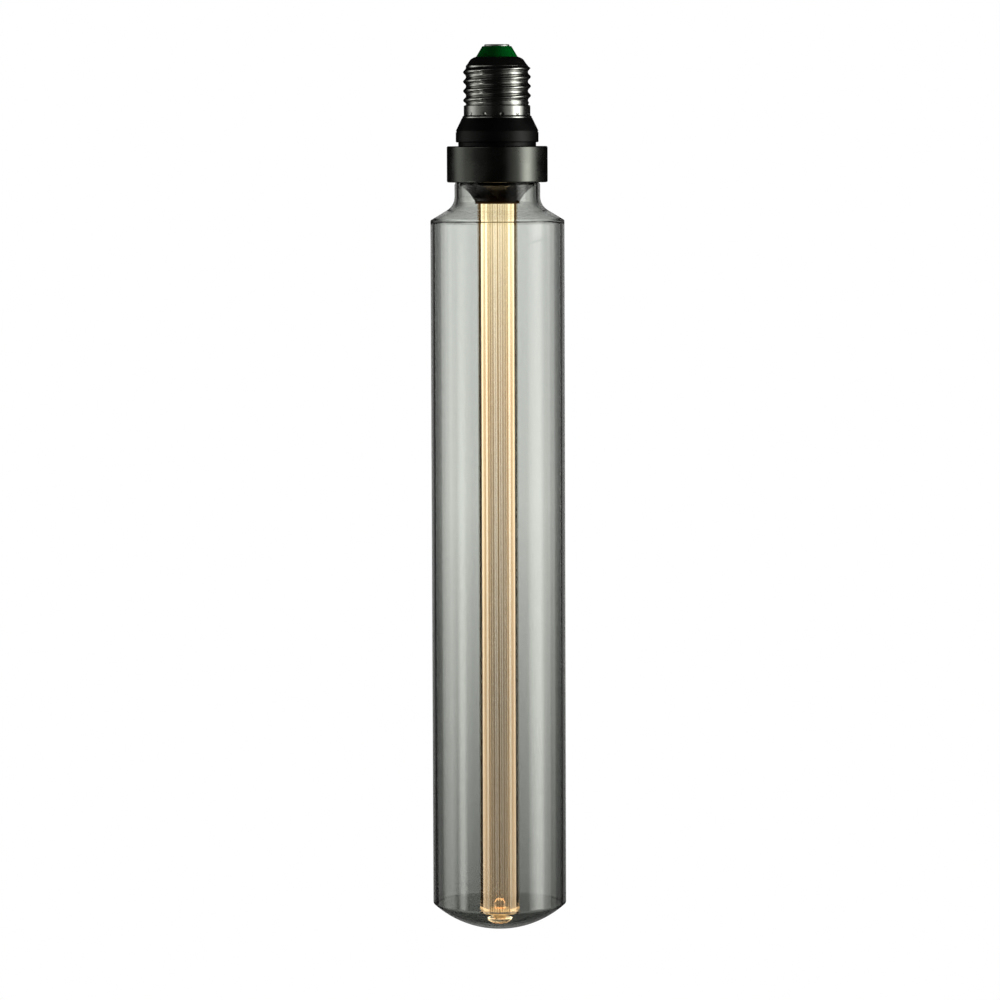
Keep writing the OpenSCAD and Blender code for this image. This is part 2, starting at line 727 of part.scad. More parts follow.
// The insulated lead from the contact's shank to the board
module live_lead() {
    y = (driver_board.y + lead_d) / 2 + seat_gap;
    tail_z = spigot_z - shank_tail;
    drop = tail_z - board_top_z;
    color("firebrick") wire([
        [0, 0, tail_z], [0, 0, tail_z - drop / 6], [-lead_d / 2, y / 2, tail_z - drop / 2],
        [-lead_d, y, board_top_z], [-lead_d, y, board_top_z - rail_w]
    ], lead_d);
}

// The bare wire that leaves the board, passes the spigot's notch and is trapped by the shell
module neutral_lead() {
    y = (driver_board.y + wire_d) / 2 + seat_gap;
    notch_z = board_top_z + wire_d;
    rail_x = spigot_in_r - rail_depth - wire_d;
    out_x = spigot_r - wire_d / 2 - loose_gap;
    color("peru") wire([
        [rail_x - wire_d * 2, y, board_top_z - rail_w], [rail_x - wire_d * 2, y, board_top_z],
        [rail_x - wire_d, y / 2, board_top_z + wire_d * 0.8], [rail_x, 0, notch_z],
        [spigot_in_r + spigot_wall / 4, 0, notch_z], [out_x, 0, notch_z - wire_d * 0.6],
        [out_x, 0, notch_z - wire_d * 2], [out_x, 0, spigot_z - spigot_wall - wire_groove_l + wire_d]
    ], wire_d);
}

// A lead from the board's foot, through the collar's web and both boards, bent out to its pad
module chip_lead(side) {
    y = (driver_board.y + wire_d) / 2;
    x = web_hole_d / 4;
    end_z = chip_board_end_z - wire_d / 2;
    in_x = chip_board_hole_d / 2 - wire_d;
    wire([
        [side * x, y, board_end_z + 2 * rail_w], [side * x, y, board_end_z],
        [side * x, y / 2, web_z], [side * in_x, 0, pad_end_z],
        [side * in_x, 0, chip_board_end_z + wire_d / 2],
        [side * (in_x + wire_d / 3), 0, end_z + wire_d / 3], [side * (in_x + wire_d), 0, end_z],
        [side * (chip_ring_r - chip_size.x / 2 - wire_d), 0, end_z]
    ], wire_d);
}

module chip_lead_plus() {
    color("crimson") chip_lead(1);
}

module chip_lead_minus() {
    color("black") chip_lead(-1);
}

centre_contact();
insulator();
screw_shell();
driver_housing();
collar();
glass_bond();
glass_envelope();
guide_holder();
light_guide();
guide_plug();
thermal_pad();
chip_board();
light_chips();
fixing_screws();
driver_board();
reservoir_capacitor();
input_capacitor();
choke_core();
choke_winding();
rectifier();
driver_chip();
fusible_resistor();
live_lead();
neutral_lead();
chip_lead_plus();
chip_lead_minus();
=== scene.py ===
# The looks of a long tubular LED lamp, seen as in its photograph, with its screw cap up.
# Lengths are metres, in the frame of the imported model: +Z out of the cap, origin on the contact's face.
import json
import math

import bmesh
import bpy
from mathutils import Matrix, Vector


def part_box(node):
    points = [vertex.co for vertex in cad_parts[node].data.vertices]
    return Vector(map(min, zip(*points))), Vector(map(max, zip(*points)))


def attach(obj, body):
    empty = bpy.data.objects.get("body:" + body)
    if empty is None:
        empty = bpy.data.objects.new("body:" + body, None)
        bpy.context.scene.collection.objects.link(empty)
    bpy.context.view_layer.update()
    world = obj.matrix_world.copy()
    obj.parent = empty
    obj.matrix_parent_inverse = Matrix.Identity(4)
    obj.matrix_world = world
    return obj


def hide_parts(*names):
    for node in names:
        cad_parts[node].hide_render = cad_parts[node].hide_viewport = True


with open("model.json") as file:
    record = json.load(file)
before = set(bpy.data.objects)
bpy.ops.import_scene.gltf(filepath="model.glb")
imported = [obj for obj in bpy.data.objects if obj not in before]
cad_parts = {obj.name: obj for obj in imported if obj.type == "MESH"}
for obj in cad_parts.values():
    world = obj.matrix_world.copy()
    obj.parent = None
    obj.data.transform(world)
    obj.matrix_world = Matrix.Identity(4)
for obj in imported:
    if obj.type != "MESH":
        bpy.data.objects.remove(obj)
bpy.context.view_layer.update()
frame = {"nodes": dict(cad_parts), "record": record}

nodes = frame["nodes"]

MM = 0.001
FRONT = -math.pi / 2


# Camera
# The picture is square. The axis of the lamp leans a little and stands left of the picture's middle.
PICTURE = 1000
FOCAL_PX = 4680
SENSOR_MM = 36
CAMERA_AWAY = 1819 * MM
EYE_LEVEL = -40.2 * MM
AIM_LEVEL = -176.8 * MM
LEAN = math.radians(0.197)
AIM_RIGHT_PX = 1.6


def make_camera():
    data = bpy.data.cameras.new("camera")
    data.sensor_width = SENSOR_MM
    data.lens = SENSOR_MM * FOCAL_PX / PICTURE
    camera = bpy.data.objects.new("camera", data)
    bpy.context.scene.collection.objects.link(camera)
    per_px = CAMERA_AWAY / FOCAL_PX
    place = Vector((0, -CAMERA_AWAY, EYE_LEVEL))
    aim = Vector((AIM_RIGHT_PX * per_px, 0, AIM_LEVEL))
    turn = (aim - place).to_track_quat("-Z", "Y").to_matrix().to_4x4()
    camera.matrix_world = Matrix.Translation(place) @ turn @ Matrix.Rotation(-LEAN, 4, "Z")
    bpy.context.scene.camera = camera
    bpy.context.view_layer.update()
    return camera


# Meshes
COLUMNS = 360
SHARP = 35
ON_AXIS = 1e-7


def arc(centre, radius, start, end, steps):
    """Points of an arc from one angle to another, in degrees, as (radius, level) pairs."""
    angles = [math.radians(start + (end - start) * i / steps) for i in range(steps + 1)]
    return [(centre[0] + radius * math.cos(a), centre[1] + radius * math.sin(a)) for a in angles]


def add_object(name, mesh, materials):
    for material in materials:
        mesh.materials.append(material)
    piece = bpy.data.objects.new(name, mesh)
    bpy.context.scene.collection.objects.link(piece)
    return piece


def turned(name, outline, materials, columns=COLUMNS, shape=None, sharp=SHARP, slots=None):
    """A solid of revolution from a closed outline of (radius, level) pairs.
    shape(i, angle, radius, level) may move a point. slots[i] is the material of the band after point i.
    Edges that bend by more than sharp degrees are shaded sharp."""
    form = bmesh.new()
    rings = []
    for i, (radius, level) in enumerate(outline):
        if radius < ON_AXIS:
            rings.append([form.verts.new((0, 0, level))])
            continue
        ring = []
        for k in range(columns):
            angle = 2 * math.pi * k / columns
            r, z = shape(i, angle, radius, level) if shape else (radius, level)
            ring.append(form.verts.new((r * math.cos(angle), r * math.sin(angle), z)))
        rings.append(ring)
    for i, ring in enumerate(rings):
        after = rings[(i + 1) % len(rings)]
        slot = slots[i] if slots else 0
        if len(ring) == 1 and len(after) == 1:
            continue
        for k in range(columns):
            n = (k + 1) % columns
            if len(ring) == 1:
                corners = (ring[0], after[n], after[k])
            elif len(after) == 1:
                corners = (ring[k], ring[n], after[0])
            else:
                corners = (ring[k], ring[n], after[n], after[k])
            form.faces.new(corners).material_index = slot
    bmesh.ops.recalc_face_normals(form, faces=form.faces)
    mesh = bpy.data.meshes.new(name)
    form.to_mesh(mesh)
    form.free()
    mesh.shade_smooth()
    mesh.set_sharp_from_angle(angle=math.radians(sharp))
    return add_object(name, mesh, materials)


# Materials
GLASS_IOR = 1.5
RESIN_IOR = 1.49
# Most values of a noise lie between these two.
NOISE_RANGE = (0.3, 0.7)


class Paint:
    """A material under construction: its Principled shader and short ways to add nodes to it."""

    def __init__(self, name, color=(0.8, 0.8, 0.8), roughness=0.5, metallic=0.0):
        self.material = bpy.data.materials.new(name)
        self.material.use_nodes = True
        self.tree = self.material.node_tree
        self.shader = self.tree.nodes["Principled BSDF"]
        self.set("Base Color", (*color, 1))
        self.set("Roughness", roughness)
        self.set("Metallic", metallic)
        self.place = self.node("ShaderNodeTexCoord").outputs["Object"]

    def node(self, kind, **values):
        made = self.tree.nodes.new(kind)
        for key, value in values.items():
            setattr(made, key, value)
        return made

    def set(self, socket, value):
        self.shader.inputs[socket].default_value = value

    def link(self, output, target):
        if isinstance(target, str):
            target = self.shader.inputs[target]
        self.tree.links.new(output, target)

    def noise(self, scale, detail=3, stretch=(1, 1, 1)):
        """A noise over the object's own place, with cells of about 1 / scale metres."""
        mapping = self.node("ShaderNodeMapping")
        mapping.inputs["Scale"].default_value = stretch
        self.link(self.place, mapping.inputs["Vector"])
        made = self.node("ShaderNodeTexNoise")
        made.inputs["Scale"].default_value = scale
        made.inputs["Detail"].default_value = detail
        self.link(mapping.outputs["Vector"], made.inputs["Vector"])
        return made.outputs["Fac"]

    def remap(self, output, from_low, from_high, to_low=0.0, to_high=1.0):
        """An output moved from one range to another, and held within it."""
        made = self.node("ShaderNodeMapRange")
        made.inputs["From Min"].default_value = from_low
        made.inputs["From Max"].default_value = from_high
        made.inputs["To Min"].default_value = to_low
        made.inputs["To Max"].default_value = to_high
        self.link(output, made.inputs["Value"])
        return made.outputs["Result"]

    def spread(self, noise, low, high):
        """A noise spread over a range."""
        return self.remap(noise, *NOISE_RANGE, low, high)

    def bump(self, output, depth):
        made = self.node("ShaderNodeBump")
        made.inputs["Distance"].default_value = depth
        self.link(output, made.inputs["Height"])
        self.link(made.outputs["Normal"], "Normal")

    def blend(self, factor, first, second):
        """One colour where the factor is 0, another where it is 1."""
        made = self.node("ShaderNodeMix", data_type="RGBA")
        made.inputs[6].default_value = (*first, 1)
        made.inputs[7].default_value = (*second, 1)
        self.link(factor, made.inputs[0])
        return made.outputs[2]

    def along(self, axis):
        """How far a point lies along one of the object's own axes."""
        split = self.node("ShaderNodeSeparateXYZ")
        self.link(self.place, split.inputs["Vector"])
        return split.outputs[axis]

    def level(self, bottom, top):
        """How far up a point lies between two levels, from 0 to 1."""
        return self.remap(self.along("Z"), bottom, top)

    def facing(self):
        """How slanted the surface is to the ray that meets it, 0 straight on and 1 along it."""
        made = self.node("ShaderNodeLayerWeight")
        made.inputs["Blend"].default_value = 0.5
        return made.outputs["Facing"]

    def ramp(self, output, stops):
        """A colour for each value of an output, from two or more stops of (value, colour)."""
        made = self.node("ShaderNodeValToRGB")
        elements = made.color_ramp.elements
        while len(elements) < len(stops):
            elements.new(0.5)
        for element, (value, color) in zip(elements, stops):
            element.position = value
            element.color = (*color, 1)
        self.link(output, made.inputs["Fac"])
        return made.outputs["Color"]

    def strengths(self, output, stops):
        """A strength for each value of an output, from two or more stops of (value, strength)."""
        return self.ramp(output, [(value, (s, s, s)) for value, s in stops])

    def plus(self, first, second):
        made = self.node("ShaderNodeMath", operation="ADD")
        self.link(first, made.inputs[0])
        self.link(second, made.inputs[1])
        return made.outputs["Value"]

    def times(self, output, factor):
        """An output multiplied by a number or by another output."""
        made = self.node("ShaderNodeMath", operation="MULTIPLY")
        self.link(output, made.inputs[0])
        if isinstance(factor, float):
            made.inputs[1].default_value = factor
        else:
            self.link(factor, made.inputs[1])
        return made.outputs["Value"]

    def emit(self, color, strength):
        """Lets the material glow in a colour, as strong as an output says."""
        self.set("Emission Color", (*color, 1))
        self.link(strength, "Emission Strength")


CLOUD_SCALE = 60
GLOSS_SCALE = 140
FINISH_CHANGE = 0.15


def grained(name, color, roughness, metallic=0.0, grain=900, depth=0.02 * MM, stretch=(1, 1, 1)):
    """A plain finish with a fine grain, and small changes in colour and gloss."""
    paint = Paint(name, color, roughness, metallic)
    less, more = 1 - FINISH_CHANGE, 1 + FINISH_CHANGE
    dark = [c * less for c in color]
    light = [min(1, c * more) for c in color]
    paint.link(paint.blend(paint.noise(CLOUD_SCALE), dark, light), "Base Color")
    gloss = paint.spread(paint.noise(GLOSS_SCALE), roughness * less, roughness * more)
    paint.link(gloss, "Roughness")
    paint.bump(paint.noise(grain, stretch=stretch), depth)
    return paint


# The envelope's colour from its dome, at 0, to its rim, at 1: its smoke tint, with painted shade that darkens
# it towards the dome.
SMOKE_AND_PAINTED_SHADE = [
    # The dome, and a painted highlight: the bright line where its edge turns into the tube
    (0.0, (0.24, 0.247, 0.233)),
    (0.0325, (0.26, 0.268, 0.254)),
    (0.0335, (0.46, 0.47, 0.45)),
    (0.0365, (0.395, 0.405, 0.39)),
    # The tube
    (0.08, (0.43, 0.44, 0.425)),
    (0.3, (0.58, 0.592, 0.572)),
    (0.56, (0.752, 0.768, 0.745)),
    (0.921, (0.8, 0.815, 0.797)),
    # The shoulder and the neck
    (0.93, (0.71, 0.725, 0.705)),
    (0.948, (0.68, 0.695, 0.67)),
    (0.962, (0.715, 0.73, 0.705)),
    (1.0, (0.66, 0.675, 0.65)),
]


def smoked_glass(bottom, top):
    """Clear smoked glass, with painted shade that darkens it towards the dome and a painted highlight where
    the dome turns into the tube.
    """
    paint = Paint("smoked_glass", roughness=0.0)
    paint.link(paint.ramp(paint.level(bottom, top), SMOKE_AND_PAINTED_SHADE), "Base Color")
    paint.set("Transmission Weight", 1)
    paint.set("IOR", GLASS_IOR)
    return paint.material


CLEAR = (1, 0.985, 0.95)


def clear_resin(name="clear_resin"):
    paint = Paint(name, color=CLEAR, roughness=0.0)
    paint.set("Transmission Weight", 1)
    paint.set("IOR", RESIN_IOR)
    return paint


def warm_resin(bottom, top):
    """Clear resin with a faint warm haze, most of it near the light."""
    paint = clear_resin("warm_resin")
    haze = paint.strengths(paint.level(bottom, top), [(0.0, 0.02), (0.6, 0.012), (0.85, 0.03), (1.0, 0.1)])
    paint.emit((1, 0.55, 0.2), haze)
    return paint.material


def peg_resin():
    """Clear resin that catches the light of the bore along its edges."""
    paint = clear_resin("peg_resin")
    rim = paint.strengths(paint.facing(), [(0.0, 0.02), (0.35, 0.1), (0.7, 1)])
    paint.emit((1, 0.68, 0.4), rim)
    return paint.material


# Painted shade: the grooves are coloured brown and their glow is dimmed, for the darker, warmer light seen
# through the ribs' sides.
GROOVE_PAINTED_SHADE = (0.2, 0.14, 0.08)
GROOVE_NOISE = 420
GROOVE_UNEVEN = 2.2
GROOVE_RANGE = (1.3, 1.9)


def groove_shade_mask(paint, ribs):
    """Where the grooves lie along a ribbed bore, 0 beside a groove and 1 in it: the mask of the painted shade
    in the grooves. A noise makes them uneven.
    """
    around = paint.node("ShaderNodeMath", operation="ARCTAN2")
    paint.link(paint.along("Y"), around.inputs[0])
    paint.link(paint.along("X"), around.inputs[1])
    wave = paint.node("ShaderNodeMath", operation="COSINE")
    paint.link(paint.times(around.outputs["Value"], float(ribs)), wave.inputs[0])
    uneven = paint.node("ShaderNodeMath", operation="MULTIPLY_ADD")
    paint.link(paint.noise(GROOVE_NOISE, detail=1, stretch=(1, 1, 0)), uneven.inputs[0])
    uneven.inputs[1].default_value = GROOVE_UNEVEN
    paint.link(wave.outputs["Value"], uneven.inputs[2])
    return paint.remap(uneven.outputs["Value"], *GROOVE_RANGE)


# The bore's glow by level: the guide's lower end is at 0, its lit upper end at 1.
BORE_COLORS = [(0.0, (1, 0.70, 0.42)), (0.35, (1, 0.67, 0.36)), (0.7, (1, 0.67, 0.34)), (1.0, (1, 0.86, 0.5))]
BORE_GLOW = [(0.0, 0.95), (0.3, 0.62), (0.75, 0.64), (1.0, 1.0)]
BORE_HAZE = [(0.0, 0.16), (0.28, 0.09), (0.55, 0.14), (0.82, 0.25), (1.0, 0.4)]
# Its glow by slant, a painted reflection: how much of the full reflection shows, and the painted highlight
# added towards its edges.
BORE_EDGE = [(0.0, 0.4), (0.6, 0.4), (0.75, 0.65)]
BORE_SKIM = [(0.1, 0), (0.3, 0.1), (0.5, 0.35)]
BORE_STRENGTH = 2.2
GROOVE_SHADE_DIM = 0.5


def lit_resin(bottom, top, ribs):
    """The grooved bore of the guide. Its grooves carry painted shade, brown and with a dimmed glow, and it
    glows with a painted reflection where the resin reflects in full.
    """
    paint = clear_resin("lit_resin")
    grooves = groove_shade_mask(paint, ribs)
    paint.link(paint.blend(grooves, CLEAR, GROOVE_PAINTED_SHADE), "Base Color")
    paint.link(paint.ramp(paint.level(bottom, top), BORE_COLORS), "Emission Color")
    full = paint.node("ShaderNodeFresnel")
    full.inputs["IOR"].default_value = RESIN_IOR
    edge = paint.strengths(paint.facing(), BORE_EDGE)
    strength = paint.strengths(paint.level(bottom, top), BORE_GLOW)
    seen = paint.times(paint.times(paint.times(full.outputs["Fac"], edge), strength), BORE_STRENGTH)
    # Painted shade: the glow is dimmed in the grooves.
    seen = paint.times(seen, paint.remap(grooves, 0.0, 1.0, 1.0, GROOVE_SHADE_DIM))
    haze = paint.strengths(paint.level(bottom, top), BORE_HAZE)
    skim = paint.strengths(paint.facing(), BORE_SKIM)
    paint.link(paint.plus(seen, paint.plus(haze, skim)), "Emission Strength")
    return paint.material


def lit_holder():
    """Black resin that shows a brown shine of the guide's light near its lower end."""
    paint = grained("holder_black", (0.006, 0.006, 0.005), 0.27, grain=300, depth=0.002 * MM)
    low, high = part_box("guide_holder")
    shine = paint.strengths(paint.level(low.z, high.z), [(0.0, 0.06), (0.02, 0.03), (0.06, 0.004), (0.2, 0)])
    paint.emit((1, 0.42, 0.12), shine)
    paint.set("Specular IOR Level", 0.2)
    return paint


def lit_foot():
    """Clear resin with painted light: its rims glow as painted highlights of the guide's light, in brighter
    and darker patches.
    """
    paint = clear_resin("lit_foot")
    rim = paint.strengths(paint.facing(), [(0.0, 0.12), (0.45, 0.3), (0.8, 1)])
    patches = paint.spread(paint.noise(450, detail=2), -0.3, 1.8)
    paint.emit((1, 0.74, 0.44), paint.times(paint.times(rim, patches), 3.6))
    return paint.material


def golden(name, color, strength, change):
    """Resin lit from inside, with patches that are brighter and darker by a share of its strength."""
    paint = Paint(name, color=(0.8, 0.5, 0.2), roughness=0.3)
    patches = paint.spread(paint.noise(400), strength * (1 - change), strength * (1 + change))
    paint.emit(color, patches)
    return paint.material


# Envelope
WALL = 1.5 * MM
NECK_R = 16.6 * MM
RIM_R = 16.2 * MM
NECK_H = 5.5 * MM
STEP_H = 0.9 * MM
FILLET = 6.2 * MM
FALL = 31
SHOULDER_ROUND = 0.7 * MM
SHOULDER_WALL = 1.25 * MM
SHOULDER_ROUND_IN = 1.8 * MM
DOME_H = 10.1 * MM
DOME_ROUND = 0.9 * MM
DOME_WALL = 0.8 * MM
NECK_STEPS = 24
TUBE_STEPS = 12
ROUND_STEPS = 8
DOME_STEPS = 40


def envelope_skin(wall, shoulder_wall, dome_wall):
    """One skin of the envelope, from the rim to the dome's tip, for given walls inside the outer surface."""
    low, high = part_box("glass_envelope")
    collar_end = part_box("collar")[0].z
    radius = high.x - wall
    dome_r = (high.x ** 2 + DOME_H ** 2) / (2 * DOME_H)
    dome_z = low.z + dome_r
    dome_r -= dome_wall
    bend = (NECK_R + FILLET, collar_end - NECK_H)
    fall = math.radians(FALL)
    # The wall thins from the neck to the shoulder.
    neck = []
    for i in range(NECK_STEPS + 1):
        angle = math.pi + (math.pi / 2 - fall) * i / NECK_STEPS
        r = FILLET + wall + (shoulder_wall - wall) * i / NECK_STEPS
        neck.append((bend[0] + r * math.cos(angle), bend[1] + r * math.sin(angle)))
    leave = neck[-1]
    edge_r = SHOULDER_ROUND if wall == 0 else SHOULDER_ROUND_IN
    run = (radius - edge_r - leave[0] + edge_r * math.sin(fall)) / math.cos(fall)
    edge = (radius - edge_r, leave[1] - run * math.sin(fall) - edge_r * math.cos(fall))
    foot_r = DOME_ROUND if wall == 0 else DOME_ROUND / 2
    inner = dome_r - foot_r
    foot = (radius - foot_r, dome_z - math.sqrt(inner ** 2 - (radius - foot_r) ** 2))
    turn = math.degrees(math.atan2(foot[1] - dome_z, foot[0]))
    return [
        (RIM_R - wall, high.z),
        (RIM_R - wall, collar_end),
        (NECK_R - wall, collar_end - STEP_H),
        *neck,
        *arc(edge, edge_r, 90 - FALL, 0, ROUND_STEPS),
        *[(radius, edge[1] + (foot[1] - edge[1]) * i / TUBE_STEPS) for i in range(1, TUBE_STEPS)],
        *arc(foot, foot_r, 0, turn, ROUND_STEPS),
        *arc((0, dome_z), dome_r, turn, -90, DOME_STEPS)[1:-1],
        (0, dome_z - dome_r),
    ]


def make_envelope():
    low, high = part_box("glass_envelope")
    outline = envelope_skin(0, 0, 0) + envelope_skin(WALL, SHOULDER_WALL, DOME_WALL)[::-1]
    piece = turned("smoked_envelope", outline, [smoked_glass(low.z, high.z)])
    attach(piece, "root")
    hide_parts("glass_envelope")


# Light guide
GUIDE_WALL = 3.5 * MM
GUIDE_BEVEL = 0.7 * MM
GUIDE_ROWS = 24
RIB_H = 0.02 * MM
RIBS = 32
RIB_COLUMNS = 16
RESIN_SHARP = 40


def make_guide():
    """The clear tube with ribs along its bore. Its lower end and the bevel around it are lit."""
    low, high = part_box("light_guide")
    radius, bore = high.x, high.x - GUIDE_WALL
    bevel_z = low.z + GUIDE_BEVEL
    levels = [high.z + (bevel_z - high.z) * i / GUIDE_ROWS for i in range(GUIDE_ROWS + 1)]
    outside = [(radius, z) for z in levels] + [(radius - GUIDE_BEVEL, low.z)]
    inside = [(bore, low.z)] + [(bore, z) for z in levels[::-1]]

    def ribs(i, angle, r, z):
        if i < len(outside):
            return r, z
        return r - RIB_H * (1 + math.cos(RIBS * angle)) / 2, z

    wall = warm_resin(low.z, high.z)
    grooved = lit_resin(low.z, high.z, RIBS)
    end = golden("lit_end", (1, 0.78, 0.46), 0.75, 0.5)
    bevel = golden("lit_bevel", (1, 0.68, 0.36), 1.6, 0.4)
    in_wall, in_bore, in_end, in_bevel = range(4)
    slots = [in_wall] * (len(outside) - 2) + [in_bevel, in_end] + [in_bore] * (len(inside) - 1) + [in_wall]
    piece = turned("guide_tube", outside + inside, [wall, grooved, end, bevel],
                   columns=RIBS * RIB_COLUMNS, shape=ribs, slots=slots, sharp=RESIN_SHARP)
    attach(piece, "root")
    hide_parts("light_guide")


# Stopper
PEG_R = 2.05 * MM
PEG_ROUND = 1.9 * MM
PEG_ROWS = 4
PEG_ROUND_STEPS = 12
FLANGE_R = 4.2 * MM
FLANGE_H = 1.2 * MM
FOOT_NECK_R = 2.6 * MM
FOOT_H = 2.1 * MM
# The cushion foot's outline, in shares of its radius and height.
FOOT_SHAPE = [(0.35, 0), (0.7, 0.12), (0.9, 0.45), (1, 0.85), (1, 1)]
LEDGE_R = 6.1 * MM
LEDGE_H = 1.1 * MM
LEDGE_GAP = 0.03 * MM
PLUG_COLUMNS = 96


def make_plug():
    """The stopper in the guide's end: a clear peg up the bore, a lit flange in it, a lit ledge right under
    it and a cushion foot."""
    low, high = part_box("guide_plug")
    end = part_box("light_guide")[0].z
    top = high.z - PEG_ROUND
    foot_top, stem = low.z + FOOT_H, end + FLANGE_H
    in_peg, in_flange, in_foot, in_ledge = range(4)
    parts = [
        (in_foot, [(0, low.z)] + [(high.x * a, low.z + FOOT_H * b) for a, b in FOOT_SHAPE]),
        (in_flange, [(FOOT_NECK_R, foot_top)]),
        (in_ledge, [(FOOT_NECK_R, end - LEDGE_H), (LEDGE_R - LEDGE_H / 2, end - LEDGE_H),
                    (LEDGE_R, end - LEDGE_H / 2), (LEDGE_R, end - LEDGE_GAP)]),
        (in_flange, [(FLANGE_R, end - LEDGE_GAP), (FLANGE_R, stem)]),
        (in_peg, [(PEG_R, stem + (top - stem) * i / PEG_ROWS) for i in range(PEG_ROWS)]),
        (in_peg, [(PEG_R - PEG_ROUND + r, z) for r, z in arc((0, top), PEG_ROUND, 0, 90, PEG_ROUND_STEPS)]),
        (in_peg, [(0, high.z)]),
    ]
    outline = [point for slot, points in parts for point in points]
    slots = [slot for slot, points in parts for point in points]
    foot = lit_foot()
    flange = golden("lit_flange", (1, 0.7, 0.34), 0.95, 0.6)
    ledge = golden("lit_ledge", (1, 0.62, 0.26), 2.6, 0.5)
    piece = turned("guide_stopper", outline, [peg_resin(), flange, foot, ledge],
                   columns=PLUG_COLUMNS, slots=slots, sharp=RESIN_SHARP)
    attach(piece, "root")
    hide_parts("guide_plug")


# Screw shell
SHELL_COLUMNS = 240
SHELL_SHARP = 60
SHEET = 0.35 * MM
OPENING_R = 8.1 * MM
# The round shoulder, in shares of its width out from the opening and of its height down.
SHOULDER_SHAPE = [(0, 0), (0.1, 0.03), (0.19, 0.07), (0.3, 0.13), (0.41, 0.2), (0.49, 0.26), (0.56, 0.33),
                  (0.64, 0.45), (0.72, 0.59), (0.79, 0.7), (0.86, 0.82), (0.94, 0.92)]
PITCH = 3.629 * MM
FIRST_CREST = 0.65 * MM
THREAD_LENGTH = 15 * MM
THREAD_DEPTH = 1.075 * MM
THREAD_ROWS = 110
# The thread fades in and out over a share of a turn, and its crests are narrower than its valleys.
THREAD_FADE = 0.3
CREST_POWER = 1.3
SKIRT_INSET = 0.225 * MM
SKIRT_H = 4.15 * MM
SKIRT_ROWS = 24
# The bend from the thread to the skirt, in shares of the step out and of its height.
BEND_H = SKIRT_H * 0.12
BEND_SHAPE = [(0.15, 0.2), (0.5, 0.45), (0.85, 0.7), (1, 1)]
# The flared lip, in shares of its flare and height.
LIP_H = 0.95 * MM
LIP_FLARE = 0.55 * MM
LIP_SHAPE = [(0.3, 0.15), (0.75, 0.35), (1, 0.6), (1, 1)]
DENTS = 12
DENT_TURN = math.radians(8)
DENT_R = 0.5 * MM
DENT_DEPTH = 0.3 * MM
DENT_UP = 0.5 * MM
DENT_SOFTNESS = 1.5


def thread_height(level, angle, top, end):
    """How high the thread stands at a place between its top and its end, from 0 to 1."""
    turn = (level - top + FIRST_CREST) / PITCH - angle / (2 * math.pi)
    from_end = min(top - level, level - end) / PITCH
    if from_end <= 0:
        return 0
    fade = min(1, from_end / THREAD_FADE)
    fade = fade * fade * (3 - 2 * fade)
    return ((1 + math.cos(2 * math.pi * turn)) / 2) ** CREST_POWER * fade


def dent_depth(level, angle, dent_level, skirt_r):
    """How deep the skirt is dented at a place, by the dents that crimp it to the housing."""
    off = (angle - FRONT - DENT_TURN) % (2 * math.pi / DENTS)
    off = min(off, 2 * math.pi / DENTS - off) * skirt_r
    near = (off * off + (level - dent_level) ** 2) / (DENT_R * DENT_R)
    return DENT_DEPTH * math.exp(-near * DENT_SOFTNESS)


def make_shell(material):
    """The rolled shell, with its round shoulder, its thread, its dented skirt and its flared lip."""
    low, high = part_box("screw_shell")
    skirt_r = high.x - LIP_FLARE
    root_r = skirt_r + SKIRT_INSET - THREAD_DEPTH
    lip_z = low.z + LIP_H
    thread_end = lip_z + SKIRT_H
    thread_top = thread_end + THREAD_LENGTH
    width, height = root_r - OPENING_R, high.z - thread_top
    outside = [(OPENING_R + width * a, high.z - height * b) for a, b in SHOULDER_SHAPE]
    thread_first = len(outside)
    outside += [(root_r, thread_top - THREAD_LENGTH * i / THREAD_ROWS) for i in range(THREAD_ROWS + 1)]
    outside += [(root_r + (skirt_r - root_r) * a, thread_end - BEND_H * b) for a, b in BEND_SHAPE]
    plain = thread_end - BEND_H
    skirt_first = len(outside)
    outside += [(skirt_r, plain + (lip_z - plain) * i / SKIRT_ROWS) for i in range(1, SKIRT_ROWS + 1)]
    outside += [(skirt_r + LIP_FLARE * a, lip_z - LIP_H * b) for a, b in LIP_SHAPE]
    inside = [(r - SHEET, z) for r, z in outside[::-1]]

    def rolled(i, angle, r, z):
        row = i if i < len(outside) else 2 * len(outside) - 1 - i
        if thread_first <= row <= thread_first + THREAD_ROWS:
            return r + THREAD_DEPTH * thread_height(z, angle, thread_top, thread_end), z
        if row >= skirt_first:
            return r - dent_depth(z, angle, lip_z + DENT_UP, skirt_r), z
        return r, z

    piece = turned("threaded_shell", outside + inside, [material],
                   columns=SHELL_COLUMNS, shape=rolled, sharp=SHELL_SHARP)
    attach(piece, "root")
    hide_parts("screw_shell")


# Finishes
METALS = ("screw_steel", "copper", "wire_bare")
INNER_ROUGHNESS = 0.4


def black_nickel():
    return grained("shell_black_nickel", (0.5, 0.5, 0.48), 0.22, 1.0, grain=300, depth=0.0005 * MM)


def housing_black():
    paint = grained("housing_black", (0.003, 0.003, 0.003), 0.42, grain=2600, depth=0.005 * MM)
    paint.set("Specular IOR Level", 0.24)
    return paint


def collar_anodised():
    """Dark metal, with a fine grain that runs up and down."""
    return grained("collar_anodised", (0.14, 0.144, 0.132), 0.26, 1.0, grain=3000, depth=0.002 * MM,
                   stretch=(1, 1, 0.1))


def insulator_green():
    paint = grained("insulator_green", (0.0, 0.19, 0.022), 0.2, grain=500, depth=0.002 * MM)
    paint.set("Coat Weight", 0.3)
    return paint


